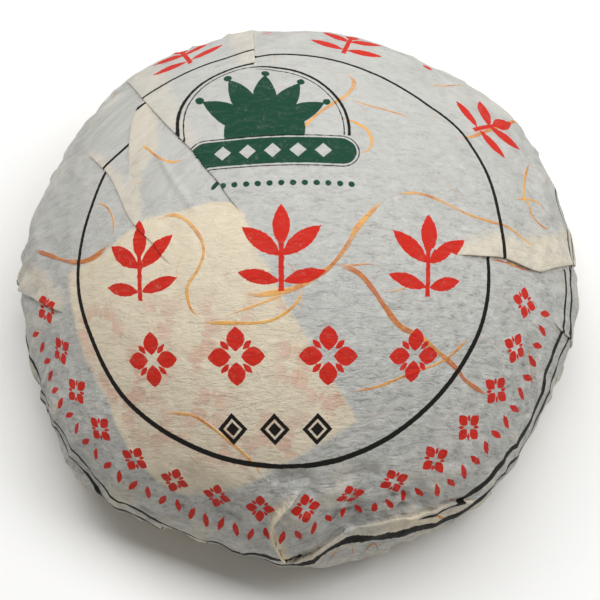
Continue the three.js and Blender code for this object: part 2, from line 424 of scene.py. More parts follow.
def crumple(azimuth, arc):
    """Facets that meet in sharp creases, fine ridges and the drawn folds, all stronger at the rim."""
    places = smooth_place(azimuth, arc)
    rim = ramp(arc, 30, 54)
    facets = 0.0
    for wide, wide_seed, narrow, narrow_seed, height, more in FACETS:
        bowls = nearest_seed(places, wide, wide_seed) - nearest_seed(places, narrow, narrow_seed)
        facets = facets + (height + more * rim) * bowls
    facets = facets + (0.015 + 0.04 * rim) * ridges(places, 1.6, 15)
    gathers = (0.34 + 0.34 * ramp(arc, 50, 60)) * drawn_folds(azimuth, arc)
    return facets * crushed(azimuth, arc) + gathers


def skin_relief(azimuth, arc):
    """Height of the paper above the smooth section: pleats, creases and crumples."""
    number, share = pleat_place(azimuth)
    radius = section_at(arc)[0]
    begun = ramp(arc, pleat_begins[number], PLEATS_FULL)
    spread = 0.35 + 0.65 * ramp(radius, 0, EQUATOR_RADIUS / 2)
    pleats = pleat_depths[number] * share * begun * spread
    relief = pleats + crumple(azimuth, arc) * ramp(radius, 0, 4)
    on_top = arc < ARC_EQUATOR + 4
    return relief + np.where(on_top, crease_relief(flat(azimuth, arc)), 0)


FOOT_WIDTH, GROOVE_HEIGHT = 3.0, 0.45  # mm: the pleats leave small gaps in the ring that it stands on


def skin(azimuth, arc, lift=0.0):
    """A place on the wrapper, in millimetres in the frame, lifted off it along the normal."""
    radius, height, outwards, upwards = section_at(arc)
    relief = skin_relief(azimuth, arc) + lift
    beyond = arc > ARC_EQUATOR
    swell_share = np.where(
        beyond,
        ramp(radius, STANDING_INNER, EQUATOR_RADIUS - 1),
        ramp(radius, EQUATOR_RADIUS * 0.8, EQUATOR_RADIUS * 0.96),
    )
    turn = azimuth + np.where(beyond, TWIST * (1 - ramp(radius, 0, STANDING_INNER)), 0)
    turn = np.radians(turn)
    reach = radius + swell_share * outline_swell(azimuth) + relief * outwards
    reach = np.where(radius < 1e-6, 0, reach.clip(0))
    level = height + relief * upwards
    foot = np.exp(-(((arc - ARC_STANDING.mean()) / FOOT_WIDTH) ** 4))
    groove = GROOVE_HEIGHT * (1 - pleat_place(azimuth)[1]) ** 5 * foot
    level = np.where(beyond, np.maximum(level, groove), level)
    return np.stack([
        AXIS[0] + reach * np.cos(turn), AXIS[1] + reach * np.sin(turn), level,
    ], axis=-1)


def skin_flat(places, lift=0.0):
    """The same, for places given in the flat skin's coordinates."""
    azimuth = np.degrees(np.arctan2(places[..., 1], places[..., 0]))
    return skin(azimuth, np.hypot(places[..., 0], places[..., 1]), lift)


# %% [markdown]
# ## Where the print lies
#
# The sheet was printed flat, with a ring in its middle. On the cake the ring's middle lies a little
# in front of the dome's top, and each fold hides some paper, so the ring jumps where it crosses a
# fold. The sheet is therefore taken as five sectors between the folds. In each, the ring is fitted
# to the pixels where it shows, and the rest of the print drifts with it.

# %% Sectors of the sheet
RING_RADIUS = 31.9
RING_MIDDLE = np.array([-2.3, -4.1])  # in the skin's flat coordinates

FOLD_LINES = {
    "right": [(450, 254), (482, 256), (503, 258), (536, 271), (551, 268), (574, 266)],
    "top": [(255, 66), (254, 50), (253, 36)],
    "left back": [
        (245, 220), (237, 207), (229, 197), (218, 181), (206, 168), (192, 150), (167, 125), (144, 100),
        (132, 86),
    ],
    "left strip": [
        (134, 222), (129, 200), (129, 172), (130, 147), (131, 136), (133, 122), (137, 110), (146, 98),
    ],
    "front": [
        (478, 497), (458, 501), (443, 507), (425, 515), (392, 523), (352, 531), (344, 533), (318, 548),
        (293, 560),
    ],
    "left crease": [
        (178, 272), (162, 255), (153, 243), (135, 225), (126, 210), (118, 191), (110, 176), (102, 167),
        (88, 154),
    ],
}
RING_SEEN = {
    "right back": [
        (503, 257), (502, 233), (497, 207), (490, 180), (477, 155), (463, 135), (455, 123), (440, 115),
        (417, 98), (387, 80), (343, 63), (300, 55), (256, 56),
    ],
    "back": [(254, 52), (228, 58), (200, 67), (172, 80), (144, 99)],
    "left strip": [(148, 102), (137, 110)],
    "left": [(130, 147), (114, 157), (104, 168)],
    "front": [
        (105, 173), (95, 200), (85, 230), (78, 290), (95, 345), (122, 396), (180, 440), (240, 462),
        (290, 467), (350, 456), (431, 403), (464, 360), (480, 330), (488, 290), (487, 258),
    ],
}
BORDER_RADIUS = 54.3
BORDER_SEEN = [  # the outer border line, from the right, round the front, to the left
    (573, 272), (572, 300), (571, 330), (567, 343), (560, 366), (552, 386), (541, 418), (529, 441),
    (507, 470), (490, 490), (476, 501), (457, 513), (425, 524), (385, 534), (347, 540), (325, 549),
    (303, 563), (266, 561), (240, 554), (200, 543), (160, 525), (118, 497), (84, 462), (60, 428),
    (36, 374), (24, 330), (21, 300),
]
BORDER_SLIP = [  # azimuth, and how many mm further out than its pixels the border lies on the uneven rim
    (180, 3.0), (204, 2.8), (213, -3.4), (220, -2.6), (226, -1.0), (233, 1.2), (240, 3.6), (248, 5.6),
    (262, 5.0), (266, 1.6), (270, 1.5), (275, 1.0), (279, -2.6), (283, -2.8), (287, -0.2), (290, 2.2),
    (299, 1.9), (306, 1.5), (311, -0.5), (318, -1.4), (323, -0.9), (332, 2.1), (338, 2.4), (342, 1.0),
    (346, 1.8), (350, 0.6), (357, -2.3), (361, -3.8), (372, -4.2),
]
SECTORS = list(RING_SEEN)
BACK_SHIFT = 6.0  # mm that the border lines lie further out at the back, where more paper is drawn in
BACK_SHIFT_BEGINS = {"back": (50, 59), "left strip": (40, 62), "left": (40, 62)}  # mm from the middle
FOLD_SLIP = 24.0  # degrees that the sheet is turned beside the left back fold


def polar(places, middle=(0, 0)):
    """Azimuth in degrees and distance of places round a middle."""
    offset = places - np.asarray(middle)
    return np.degrees(np.arctan2(offset[..., 1], offset[..., 0])), np.hypot(offset[..., 0], offset[..., 1])


def fold_azimuth(name, arc):
    """Azimuth of a fold line at an arc, with the line drawn on past both its ends."""
    azimuth, distance = polar(on_dome(FOLD_LINES[name]))
    azimuth = np.where(azimuth < -90, azimuth + 360, azimuth)
    order = np.argsort(distance)
    return np.interp(arc, distance[order], azimuth[order])


def evened(degrees, seen, values, width=11):
    """Values at seen azimuths, carried to every degree and evened over some degrees."""
    seen = (seen - degrees[0]) % 360 + degrees[0]
    order = np.argsort(seen)
    followed = np.interp(degrees, seen[order], values[order])
    return np.convolve(np.pad(followed, width // 2, mode="edge"), np.ones(width) / width, mode="valid")


def ring_drift(degrees, *sectors):
    """How far the ring in some sectors lies inside its true radius, for each degree round."""
    seen = [pixel for sector in sectors for pixel in RING_SEEN[sector]]
    return RING_RADIUS - evened(degrees, *polar(on_dome(seen), RING_MIDDLE))


TOP_PLEAT_END = 28.7  # mm from the ring's middle to the inner end of the top pleat
DRIFT_BEGINS = 18
STRIP_DRIFT_ENDS = (36, 52)


def drift(sector, azimuth, distance):
    """How far outwards on the sheet a place lies from where it would on an unfolded cake.

    Inside the end of the top pleat the two back sectors are one, so they share one drift there."""
    start = {"front": 120}.get(sector, -60)
    degrees = np.arange(start, start + 361)
    turn = (azimuth - start) % 360 + start
    ring = ring_drift(degrees, sector)
    shared = ring_drift(degrees, "right back", "back") if sector in ("right back", "back") else ring
    inner = np.interp(turn, degrees, shared) * ramp(distance, DRIFT_BEGINS, RING_RADIUS)
    inner += np.interp(turn, degrees, ring - shared) * ramp(distance, TOP_PLEAT_END, RING_RADIUS)
    if sector in ("left strip", "left"):
        return inner * (1 - ramp(distance, *STRIP_DRIFT_ENDS))
    if sector != "front":
        return inner
    border = BORDER_RADIUS - evened(degrees, *polar(on_dome(BORDER_SEEN), RING_MIDDLE))
    border = border - evened(degrees, *np.transpose(BORDER_SLIP), 5)
    share = ramp(distance, RING_RADIUS, BORDER_RADIUS)
    return inner + share * np.interp(turn, degrees, border - ring)


def sheet_place(places, sector):
    """Coordinates on the printed sheet of places on the flat skin, drifted as in one sector."""
    azimuth, distance = polar(places, RING_MIDDLE)
    begins = BACK_SHIFT_BEGINS.get(sector, (47, 56))
    shift = BACK_SHIFT * ramp(places[..., 1], 5, 40) * ramp(distance, *begins)
    slip = 0.0
    if sector in ("left strip", "left"):
        past_fold = to_line(places, on_dome(FOLD_LINES["left back"]))[0]
        slip = FOLD_SLIP * np.exp(-past_fold / 8) * ramp(places[..., 1], 3, 8)
        slip = slip * (1 - ramp(distance, 34, 46))
    return flat(azimuth + slip, distance + drift(sector, azimuth, distance) - shift)


def sector_of(places):
    """Number of the sector that each place lies in, counted counter-clockwise from the right fold."""
    azimuth, arc = polar(places)
    turn = (azimuth - fold_azimuth("right", arc)) % 360
    number = np.zeros(turn.shape, int)
    for name in ("top", "left back", "left strip", "left crease"):
        number += turn > (fold_azimuth(name, arc) - fold_azimuth("right", arc)) % 360
    return number


for sector in SECTORS:
    seen = polar(on_dome(RING_SEEN[sector]), RING_MIDDLE)[1]
    print(f"ring in sector {sector}: radius {seen.min():.1f} to {seen.max():.1f} mm")


# %% [markdown]
# ## Grey paper and cream paper
#
# Where the thin sheet lies in one layer over the dark tea it looks grey, and where it lies double it
# looks cream. The border between them is the edge of the layer underneath, so it is a shape of the
# flat skin. It is worked out for each vertex and kept as the attribute "layers_and_shade", from 0
# to 1. The crests of the crumples stand off the tea and are painted a little paler, and painted shade
# darkens their valleys and three patches on the front of the rim.

# %% Where the paper lies double
CREAM_ZONES = {
    "inner sheet": (
        [
            (68, 274), (74, 321), (83, 353), (94, 376), (108, 399), (122, 430), (133, 450), (155, 482),
            (180, 503), (201, 503), (229, 491), (260, 481), (309, 450), (357, 421), (326, 368),
            (301, 330), (291, 312), (257, 249), (243, 211), (230, 202), (210, 202), (186, 210),
            (146, 218), (120, 238), (104, 254),
        ],
        1.0, 0.28,
    ),
    "small pleat in the front": (
        [
            (298, 487), (304, 491), (289, 505), (278, 518), (275, 527), (282, 543), (293, 560),
            (285, 561), (273, 543), (266, 528), (270, 515), (283, 500),
        ],
        0.95, 0.25,
    ),
    "edge over the left rim": (
        [(18, 268), (32, 264), (50, 280), (66, 298), (63, 311), (45, 302), (26, 291), (16, 284)], 0.55, 0.7,
    ),
    # painted shade: three dark patches on the front of the rim, where the crumpled paper lies in shade
    "painted shade patch one": ([(260, 470), (300, 464), (330, 478), (322, 500), (290, 505), (262, 492)], -0.55, 1.6),
    "painted shade patch two": ([(345, 478), (388, 472), (402, 490), (372, 498)], -0.5, 1.4),
    "painted shade patch three": ([(425, 468), (455, 460), (464, 480), (432, 494)], -0.4, 1.4),
    "grey patch": ([(256, 238), (282, 236), (286, 254), (262, 258)], -0.5, 1.0),
}
HEMS = {  # fold, side of the hem, strength, outline
    "right": (1, 0.62, [
        (446, 262), (452, 246), (470, 240), (500, 230), (520, 240), (540, 236), (566, 232), (584, 240),
        (584, 285), (530, 290), (480, 270),
    ]),
    "left back": (-1, 0.3, [
        (120, 76), (160, 62), (172, 88), (178, 110), (190, 130), (200, 150), (199, 162), (170, 150),
        (140, 115),
    ]),
    "top": (1, 0.35, [(221, 24), (262, 24), (262, 66), (240, 64), (234, 48)]),
    "left strip": (-1, 0.5, [
        (150, 92), (153, 106), (156, 124), (158, 146), (147, 161), (141, 176), (139, 198), (143, 226),
        (120, 226), (118, 150), (122, 100),
    ]),
    "front": (1, 0.7, [
        (478, 493), (460, 497), (443, 503), (425, 512), (392, 520), (351, 529), (312, 546), (290, 560),
        (303, 570), (326, 554), (348, 545), (386, 541), (426, 530), (458, 519), (478, 505),
    ]),
    "left crease": (-1, 0.5, [
        (86, 146), (104, 158), (114, 168), (124, 182), (134, 200), (142, 220), (162, 244), (176, 262),
        (160, 270), (120, 230), (90, 180),
    ]),
}


def inside(places, corners):
    """Signed distance to a closed outline in the flat skin, positive inside it."""
    around = np.vstack([corners, corners[:1]])
    gap = to_line(places, around)[0]
    within = np.zeros(places.shape[:-1], bool)
    for start, end in zip(around[:-1], around[1:]):
        spans = (start[1] > places[..., 1]) != (end[1] > places[..., 1])
        rise = end[1] - start[1]
        cross = start[0] + (places[..., 1] - start[1]) * (end[0] - start[0]) / (rise if rise else 1)
        within ^= spans & (places[..., 0] < cross)
    return np.where(within, gap, -gap)


def layers_and_shade_at(places):
    """0 where single and grey, 1 where double and cream, under 0 in painted shade and a grey patch."""
    azimuth, arc = polar(places)
    wander = noise(smooth_place(azimuth, arc), 3.5, 21)
    value = np.zeros(places.shape[:-1])
    for pixels, strength, soft in CREAM_ZONES.values():
        depth = inside(places, on_dome(pixels)) + soft * 0.6 * wander
        share = strength * ramp(depth, -soft, soft)
        value = np.where(strength > 0, np.maximum(value, share), value + share)
    for name, (side, strength, pixels) in HEMS.items():
        left = to_line(places, on_dome(FOLD_LINES[name]))[1]
        depth = inside(places, on_dome(pixels)) + 0.5 * wander
        value = np.maximum(value, strength * ramp(depth, -0.7, 0.7) * (left * side > 0))
    number, share = pleat_place(azimuth)
    below = ramp(arc, ARC_EQUATOR - 1, ARC_EQUATOR + 6)
    value = np.maximum(value, below * (0.45 + 0.4 * ramp(share, 0.6, 0.9)))
    # painted light and shade: crumple crests paler and valleys darker, partly the paper standing off the tea,
    # partly shade
    return (value + 0.9 * crumple(azimuth, arc)).clip(-1, 1)


# %% [markdown]
# ## The skin
#
# The grid has twenty columns in each pleat, so a pleat's free edge always falls between two columns
# and stays crisp. Rings are close on the dome, where the photograph looks, and a little wider in the
# hollow. Subdividing a coarse shell would have rounded the free edges away.

# %% Grids into meshes
CRISP_ANGLE = math.radians(38)  # a free edge of paper is sharper than this, a crumple isn't


def paper_mesh(name, places, faces, corner_sheet, layers_and_shade, golden=0.0, brown=0.0):
    """A mesh from vertices in mm and its faces, with its sheet coordinates, layers and fibre."""
    mesh = bpy.data.meshes.new(name)
    mesh.from_pydata((places * MM).tolist(), [], faces)
    sheet = mesh.uv_layers.new(name="sheet")
    sheet.data.foreach_set("uv", (0.5 + corner_sheet / SHEET_SIDE).astype(np.float32).ravel())
    for attribute, values in (("layers_and_shade", layers_and_shade), ("golden", golden), ("brown", brown)):
        stored = mesh.attributes.new(attribute, "FLOAT", "POINT")
        stored.data.foreach_set("value", np.broadcast_to(values, len(places)).astype(np.float32))
    mesh.shade_smooth()
    mesh.set_sharp_from_angle(angle=CRISP_ANGLE)
    return placed(name, mesh)


SHEET_SIDE = 240.0  # mm of sheet across the whole UV square
COLUMNS_IN_PLEAT = 20
DOME_RINGS, RIM_RINGS, HOLLOW_RINGS, TAIL_RINGS = 126, 26, 30, 16

column_shares = np.append(np.linspace(0, 0.97, COLUMNS_IN_PLEAT - 1), 0.995)
column_azimuths = (pleat_edges[:-1, None] + np.diff(pleat_edges)[:, None] * column_shares).ravel()
arc_hollow = section_arc[DOME_STEPS + RIM_STEPS + LIP_STEPS + HOLLOW_STEPS - 4]
ring_arcs = np.concatenate([
    np.linspace(0, ARC_EQUATOR, DOME_RINGS, endpoint=False)[1:],
    np.linspace(ARC_EQUATOR, ARC_STANDING[0], RIM_RINGS, endpoint=False),
    np.linspace(ARC_STANDING[0], arc_hollow, HOLLOW_RINGS, endpoint=False),
    np.linspace(arc_hollow, ARC_END, TAIL_RINGS)[:-1],
])
grid_arc, grid_azimuth = np.meshgrid(ring_arcs, column_azimuths, indexing="ij")
print("rings and columns:", grid_arc.shape, "about", 2 * grid_arc.size, "triangles")

# %% Smooth lines through a few places
def smooth_line(points, step=0.5):
    """Catmull-Rom curve through points: each stretch is a cubic set by the points either side."""
    padded = np.vstack([2 * points[0] - points[1], points, 2 * points[-1] - points[-2]])
    stretches = []
    for before, start, end, after in zip(padded[:-3], padded[1:-2], padded[2:-1], padded[3:]):
        count = max(2, round(float(np.hypot(*(end - start))) / step))
        t = np.linspace(0, 1, count, endpoint=False)[:, None]
        stretches.append(0.5 * (
            2 * start + (end - before) * t + (2 * before - 5 * start + 4 * end - after) * t ** 2
            + (3 * (start - end) + after - before) * t ** 3
        ))
    return np.vstack(stretches + [points[-1:]])


def line_frame(line):
    """For each point of a line: its distance along the line, and the unit direction to its left."""
    along = np.gradient(line, axis=0)
    along /= np.hypot(along[:, 0], along[:, 1])[:, None]
    passed = np.concatenate([[0], np.cumsum(np.hypot(*np.diff(line, axis=0).T))])
    return passed, np.column_stack([-along[:, 1], along[:, 0]])


def drawn_on(line, further):
    """A line with its far end drawn straight on by some millimetres."""
    if not further:
        return line
    final = line[-1] + (line[-1] - line[-2]) / np.hypot(*(line[-1] - line[-2])) * further
    return np.vstack([line, final])


# %% [markdown]
# Where one layer goes under another, the lower one is pressed down along the fold. So before the
# grid becomes a mesh, it is lowered beside each fold line, most at the line itself.

# %% Folds, and the dips beside them
FOLDS = {  # line, drawn on at its far end, side of the upper layer, lift, dip, reach, sector
    "right_fold": (FOLD_LINES["right"], 5.0, 1, 0.32, 0.22, 5.0, "right back"),
    "back_fold": (FOLD_LINES["left back"], 4.0, -1, 0.22, 0.1, 5.0, "back"),
    "top_pleat": (FOLD_LINES["top"], 4.0, 1, 0.36, 0.2, 5.0, "back"),
    "left_strip": (FOLD_LINES["left strip"][2:], 0.0, -1, 0.18, 0.1, 3.0, "left strip"),
    "left_crease": (FOLD_LINES["left crease"], 0.0, -1, 0.16, 0.08, 3.2, "left"),
    "left_rim_fold": ([(66, 314), (45, 303), (25, 291), (19, 284)], 3.0, -1, 0.42, 0.3, 4.0, "front"),
    "front_rim_fold": (FOLD_LINES["front"], 1.0, 1, 0.42, 0.4, 2.3, "front"),
    "front_pleat": (FRONT_PLEAT_LINE, 0.0, -1, 0.3, 0.25, 1.1, "front"),
    "right_rim_fold": (
        [(551, 316), (556, 324), (562, 331), (569, 339), (575, 346)], 3.0, 1, 0.2, 0.12, 3.0, "front",
    ),
}


DIP_WIDTH = 1.6


def fold_dips(places):
    """How far the skin is pressed down beside the folds: dip x exp(-gap / width), on the lower side."""
    depth = np.zeros(places.shape[:-1])
    for line, drawn, side, _, dip, _, _ in FOLDS.values():
        gap, left, along = to_line(places, drawn_on(on_dome(line), drawn))
        fade = ramp(along, 0, 0.12) * ramp(gap, 0, 0.01)
        depth = np.maximum(depth, dip * np.exp(-gap / DIP_WIDTH) * fade * (left * side < 0))
    return depth


# %% The closed grid
column_count = grid_arc.shape[1]
vertex_number = 1 + np.arange(grid_arc.size).reshape(grid_arc.shape)
beside = np.roll(vertex_number, -1, axis=1)
quads = np.stack([vertex_number[:-1], vertex_number[1:], beside[1:], beside[:-1]], axis=-1).reshape(-1, 4)
last = grid_arc.size + 1
top_fan = np.stack([np.zeros(column_count, int), vertex_number[0], beside[0]], axis=-1)
tail_fan = np.stack([vertex_number[-1], np.full(column_count, last), beside[-1]], axis=-1)
skin_faces = top_fan.tolist() + quads.tolist() + tail_fan.tolist()

skin_azimuth = np.concatenate([[0], grid_azimuth.ravel(), [0]])
skin_arc = np.concatenate([[0], grid_arc.ravel(), [ARC_END]])
skin_on_flat = flat(skin_azimuth, skin_arc)
skin_places = skin(skin_azimuth, skin_arc, -fold_dips(skin_on_flat))

corner_vertex = np.concatenate([top_fan.ravel(), quads.ravel(), tail_fan.ravel()])
face_middle = np.concatenate([
    skin_on_flat[top_fan].mean(axis=1), skin_on_flat[quads].mean(axis=1), skin_on_flat[tail_fan].mean(axis=1),
])
face_corners = np.concatenate([np.full(len(top_fan), 3), np.full(len(quads), 4), np.full(len(tail_fan), 3)])
corner_sector = np.repeat(sector_of(face_middle), face_corners)
corner_sheet = np.zeros((len(corner_vertex), 2))
for number, name in enumerate(SECTORS):
    in_sector = corner_sector == number
    corner_sheet[in_sector] = sheet_place(skin_on_flat, name)[corner_vertex[in_sector]]

wrapper_skin = paper_mesh("wrapper_skin", skin_places, skin_faces, corner_sheet, layers_and_shade_at(skin_on_flat))
print("skin, mm:", skin_places.min(axis=0).round(2), skin_places.max(axis=0).round(2))


# %% [markdown]
# ## Folds that lie over the skin
#
# A pleat of stiff long-fibred paper doesn't lie dead flat: its edge is rolled, stands off the layer
# below by up to half a millimetre and throws a thin shadow. A step in the skin would have a wall
# and no edge. So each fold is a closed strip with a small section of its own, carried along the fold
# line. It rises from under the skin, rolls over at the edge and sinks back into the skin.

# %% Folded edges
EDGE_SECTION = np.array([  # in from the edge: mm, share of reach; height: share of lift, mm
    (0.60, 0.00, 0.00, -0.50), (0.10, 0.00, 0.03, -0.10), (-0.05, 0.00, 0.40, 0.00),
    (-0.06, 0.00, 0.86, 0.00), (0.02, 0.00, 1.00, 0.00), (0.28, 0.00, 1.00, 0.00), (0.00, 0.25, 0.80, 0.00),
    (0.00, 0.45, 0.54, 0.00), (0.00, 0.65, 0.27, 0.00), (0.00, 0.85, 0.06, 0.00), (0.00, 1.00, 0.00, -0.06),
    (0.00, 1.00, 0.00, -0.50),
])
EDGE_RISES, EDGE_SINKS = 3.5, 1.5  # mm of a fold's length over which its edge rises, and sinks again
UNDER_SKIN = 0.1
PRINT_INSET = 0.15  # mm: the rolled edge carries the print of the paper just inside it


def swept_faces(stations, around):
    """Quads of a closed section carried along stations, and the two end caps."""
    number = np.arange(stations * around).reshape(stations, around)
    turned = np.roll(number, -1, axis=1)
    quads = np.stack([number[:-1], turned[:-1], turned[1:], number[1:]], axis=-1).reshape(-1, 4)
    return quads, number[0], number[-1]


def fold_flap(name, line, drawn, side, lift, dip, reach, sector):
    """A closed strip: the edge section carried along the fold line, lower at both ends."""
    path = smooth_line(drawn_on(on_dome(line), drawn))
    passed, left = line_frame(path)
    fade = (ramp(passed, 0, EDGE_RISES) * ramp(passed[-1] - passed, 0, EDGE_SINKS))[:, None]
    across = (EDGE_SECTION[:, 0] + EDGE_SECTION[:, 1] * reach)[None, :, None] * np.ones((len(path), 1, 1))
    spots = path[:, None] + side * left[:, None] * across
    height = fade * lift * EDGE_SECTION[:, 2] + EDGE_SECTION[:, 3] - UNDER_SKIN * (1 - fade)
    places = skin_flat(spots, height).reshape(-1, 3)
    quads, first, final = swept_faces(len(path), len(EDGE_SECTION))
    faces = quads.tolist() + [first[::-1].tolist(), final.tolist()]
    if side > 0:
        faces = [face[::-1] for face in faces]
    under = path[:, None] + side * left[:, None] * across.clip(PRINT_INSET)
    layers_and_shade = layers_and_shade_at(under).ravel()
    order = np.concatenate([np.asarray(face) for face in faces])
    sheet = sheet_place(under.reshape(-1, 2), sector)[order]
    print(f"{name}: {passed[-1]:.0f} mm long, {len(faces)} faces")
    return paper_mesh(name, places, faces, sheet, layers_and_shade)


folds = [fold_flap(name, *settings) for name, settings in FOLDS.items()]

# %% [markdown]
# ## Golden fibres
#
# Long golden fibres lie in the sheet, and they are what makes this paper unlike any printed card.
# The ink lies over them. Curves with a round bevel would look like wires on top of the print, so
# each is a low strip, set into the skin along a line of pixels. It carries the same print as the
# paper and an attribute, "golden", that fades to nothing at its edges, so its colour sinks into the
# paper's.
# One brown strip among them, along the edge of the right fold, is painted shadow.

# %% Fibres set into the paper
FIBRES = [  # width in mm, from gold at 0 to brown at 1, pixels
    (0.5, 0.85, [(38, 250), (52, 256), (66, 261), (80, 262), (93, 258), (104, 249), (110, 241)]),
    (0.22, 0.3, [(94, 203), (104, 205), (111, 213), (114, 226), (111, 241)]),
    # painted shadow: this brown strip runs along the edge of the right fold, where the fold shades the paper
    # below
    (0.3, 0.95, [(488, 259), (503, 261), (520, 267), (534, 273)]),
    (0.26, 0.3, [(132, 144), (145, 147), (159, 158), (172, 162), (189, 158)]),
    (0.32, 0.2, [
        (157, 220), (172, 215), (186, 220), (199, 235), (204, 251), (199, 268), (189, 283), (187, 293),
        (191, 309), (201, 318),
    ]),
    (0.2, 0.5, [(118, 92), (116, 97), (115, 103)]),
    (0.34, 0.3, [(344, 72), (354, 82), (348, 94), (331, 105), (319, 113), (300, 130), (293, 132)]),
    (0.18, 0.15, [(348, 98), (367, 105), (386, 110), (415, 119)]),
    (0.28, 0.35, [(338, 117), (354, 122), (367, 130), (372, 142), (367, 151), (354, 153)]),
    (0.44, 0.5, [(459, 138), (482, 133), (520, 130)]),
    (0.18, 0.3, [(424, 84), (444, 86), (465, 86)]),
    (0.28, 0.35, [(527, 163), (524, 182), (524, 199), (528, 203), (532, 216), (543, 228), (549, 227)]),
    (0.22, 0.3, [(512, 200), (524, 199), (537, 203), (546, 214)]),
    (0.28, 0.35, [
        (392, 195), (415, 193), (434, 198), (453, 207), (472, 216), (491, 222), (507, 227), (526, 241),
        (541, 254), (552, 266),
    ]),
    (0.46, 0.35, [
        (384, 199), (373, 210), (357, 228), (346, 247), (331, 266), (316, 276), (303, 284), (290, 290),
        (272, 293), (257, 295), (242, 293),
    ]),
    (0.3, 0.1, [(301, 284), (299, 299), (288, 311), (272, 320), (253, 323), (230, 323), (198, 323)]),
    (0.26, 0.15, [(293, 291), (272, 299), (251, 307), (226, 316)]),
    (0.22, 0.3, [(284, 257), (293, 269), (299, 280)]),
    (0.46, 0.85, [
        (334, 263), (357, 272), (372, 288), (385, 307), (400, 326), (419, 336), (438, 352), (457, 369),
        (465, 380), (482, 392), (491, 394),
    ]),
    (0.22, 0.4, [(337, 265), (353, 265), (370, 264), (380, 267)]),
    (0.26, 0.4, [(350, 392), (376, 387), (405, 376), (434, 365), (449, 357), (463, 344), (472, 338)]),
    (0.26, 0.3, [(163, 413), (191, 415), (210, 426), (230, 442), (247, 457), (266, 480)]),
    (0.18, 0.3, [(412, 274), (404, 288), (381, 293)]),
    (0.3, 0.9, [(440, 503), (456, 501), (471, 501)]),
    (0.22, 0.9, [(432, 515), (442, 519)]),
    (0.26, 0.8, [(413, 493), (403, 508), (392, 520)]),
    (0.24, 1.0, [(529, 336), (534, 366), (537, 394), (534, 417)]),
    (0.36, 0.8, [(329, 559), (334, 553), (339, 548)]),
    (0.2, 0.8, [(351, 557), (353, 551), (352, 545)]),
    (0.26, 0.8, [(361, 560), (368, 552), (376, 548), (378, 554), (374, 557)]),
    (0.4, 0.9, [(434, 514), (443, 519), (448, 520)]),
]
FIBRE_SECTION = np.array([  # share of the half width, height in mm, share of gold: two strands
    (-1.25, -0.10, 0.0), (-1.0, 0.0, 0.1), (-0.7, 0.03, 0.7), (-0.35, 0.045, 1.0), (0.0, 0.03, 0.6),
    (0.35, 0.045, 1.0), (0.7, 0.03, 0.7), (1.0, 0.0, 0.1), (1.25, -0.10, 0.0),
])

FIBRE_STEP, KNOT_STEP = 0.45, 1.5  # mm between stations, and between changes of width
TAPER = (-0.4, 3.0)  # mm from its ends over which a fibre thins out


def fibre_strips(name, fibres, seed):
    """Low strips along smooth lines, their width and gold wandering and tapering out."""
    draw = np.random.default_rng(seed)
    all_places, all_spots, all_gold, all_brown, all_faces, counted = [], [], [], [], [], 0
    for width, brown, gold, line in fibres:
        path = smooth_line(line, FIBRE_STEP)
        passed, left = line_frame(path)
        taper = ramp(passed, *TAPER) * ramp(passed[-1] - passed, *TAPER)
        knots = np.arange(0, passed[-1] + 3, KNOT_STEP)
        wander = np.interp(passed, knots, draw.uniform(0.65, 1.2, len(knots)))
        faint = np.interp(passed, 2.5 * knots, draw.uniform(0.6, 1.05, len(knots)))
        half = 0.9 * width * (0.3 + 0.7 * taper) * wander
        spots = path[:, None] + left[:, None] * (FIBRE_SECTION[:, :1] * half[:, None, None])
        raised = FIBRE_SECTION[:, 1] * (0.4 + 0.6 * taper[:, None]) * (0.45 + 0.55 * gold)
        height = np.where(FIBRE_SECTION[:, 1] < 0, -UNDER_SKIN, raised)
        all_spots.append(spots.reshape(-1, 2))
        all_gold.append((gold * (faint * taper)[:, None] * FIBRE_SECTION[:, 2]).ravel())
        all_brown.append(np.full(all_gold[-1].shape, brown))
        all_places.append(skin_flat(spots, height - fold_dips(spots)).reshape(-1, 3))
        quads, first, final = swept_faces(len(path), len(FIBRE_SECTION))
        strip = (quads[:, ::-1] + counted).tolist()
        strip += [(first + counted).tolist(), (final[::-1] + counted).tolist()]
        all_faces += strip
        counted += len(path) * len(FIBRE_SECTION)
    spots = np.vstack(all_spots)
    sector = sector_of(spots)
    sheet = np.zeros_like(spots)
    for number, sector_name in enumerate(SECTORS):
        sheet[sector == number] = sheet_place(spots[sector == number], sector_name)
    order = np.concatenate([np.asarray(face) for face in all_faces])
    print(f"{name}: {len(fibres)} fibres, {len(all_faces)} faces")
    gold, brown = np.concatenate(all_gold), np.concatenate(all_brown)
    return paper_mesh(name, np.vstack(all_places), all_faces, sheet[order], layers_and_shade_at(spots), gold, brown)


golden_fibres_and_shadow_strip = fibre_strips(
    "golden_fibres_and_shadow_strip", [(width, brown, 1.0, on_dome(line)) for width, brown, line in FIBRES], 31,
)

# %% [markdown]
# Finer fibres are scattered over the whole sheet, at random but from a fixed seed. Each starts at a
# random place and wanders: its direction is a sum of small random turns.

# %% Fine scattered fibres
FINE_STEP = 0.9  # mm between the small turns


